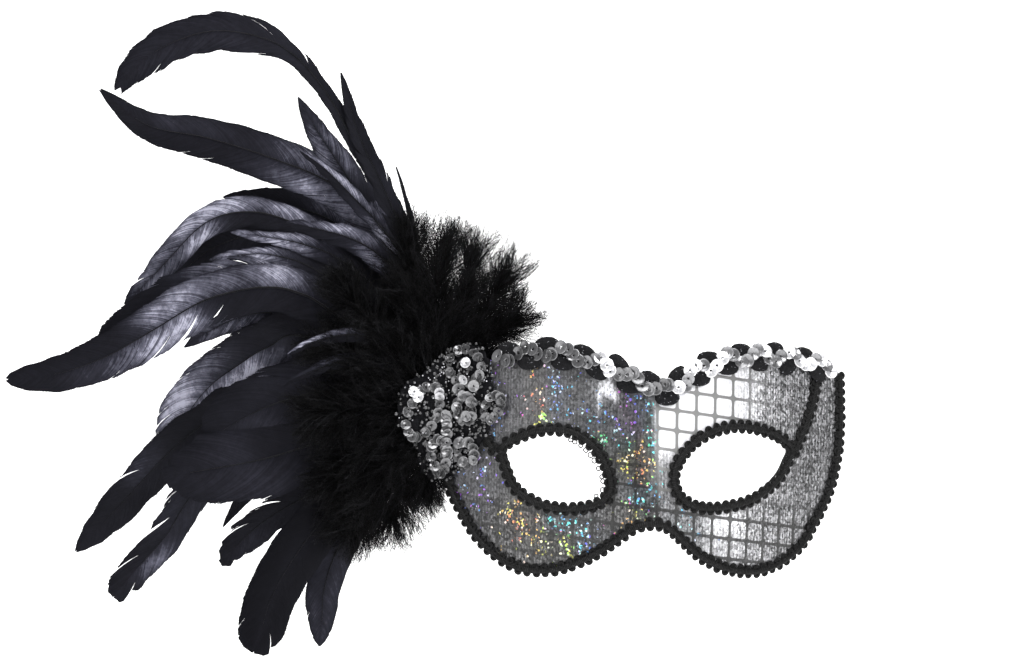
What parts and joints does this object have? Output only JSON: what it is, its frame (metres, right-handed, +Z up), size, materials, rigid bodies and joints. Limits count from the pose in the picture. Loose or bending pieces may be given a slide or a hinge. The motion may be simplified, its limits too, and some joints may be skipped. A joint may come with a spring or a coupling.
{
  "type": "venetian masquerade mask",
  "caption": "Half-face masquerade mask in silver foil cloth with black gimp braid, a sequin trim and motif, and a side plume of black coque and marabou feathers.",
  "frame": {"origin": "on the inner face of the nose bridge, on the mask's centre plane, at the height of the eye centres", "axes": "+X to the viewer's right (the wearer's left), +Y from the front of the mask towards the wearer, +Z up; mask worn upright"},
  "size_m": [0.3616, 0.1038, 0.2741],
  "materials": {
    "shell": "matt",
    "foil_cloth": "holographic silver foil",
    "gimp": "satin thread",
    "trim_textile": "metallic black thread",
    "sequin": "silver, glossy",
    "net": "matt",
    "bead": "clear",
    "strap_loop": "matt",
    "card": "matt",
    "felt": "felt",
    "coque": "dyed feather, satin sheen",
    "marabou": "down"
  },
  "bodies": {
    "root": {"mask_shell": "shell", "fabric_cover": "foil_cloth", "edge_braid": "gimp", "eye_braid_right": "gimp", "eye_braid_left": "gimp", "temple_braid_right": "gimp", "temple_braid_left": "gimp", "top_trim_cord": "trim_textile", "top_trim_lobes": "trim_textile", "top_trim_sequins": "sequin", "motif_net": "net", "motif_sequins": "sequin", "motif_beads": "bead", "strap_loop_right": "strap_loop", "strap_loop_left": "strap_loop", "plume_card": "card", "plume_felt": "felt", "coque_crest_long": "coque", "coque_crest_second": "coque", "coque_crest_under": "coque", "coque_spike_inner": "coque", "coque_spike_outer": "coque", "coque_arch_upper": "coque", "coque_arch_lower": "coque", "coque_sweep_long": "coque", "coque_sweep_gloss": "coque", "coque_sweep_under": "coque", "coque_drop_broad": "coque", "coque_drop_long": "coque", "coque_split_tip": "coque", "coque_haze_upper": "coque", "coque_haze_broad": "coque", "coque_low_slim": "coque", "coque_low_blunt": "coque", "coque_low_grey": "coque", "coque_low_short": "coque", "coque_gloss_crest": "coque", "coque_gloss_upper": "coque", "coque_gloss_mid": "coque", "coque_gloss_under": "coque", "coque_gloss_inner": "coque", "coque_gloss_lower": "coque", "hackle_wisp": "coque", "marabou_01": "marabou", "marabou_02": "marabou", "marabou_03": "marabou", "marabou_04": "marabou", "marabou_05": "marabou", "marabou_06": "marabou", "marabou_07": "marabou", "marabou_08": "marabou", "marabou_09": "marabou", "marabou_10": "marabou", "marabou_11": "marabou", "marabou_12": "marabou"}
  },
  "joints": []
}
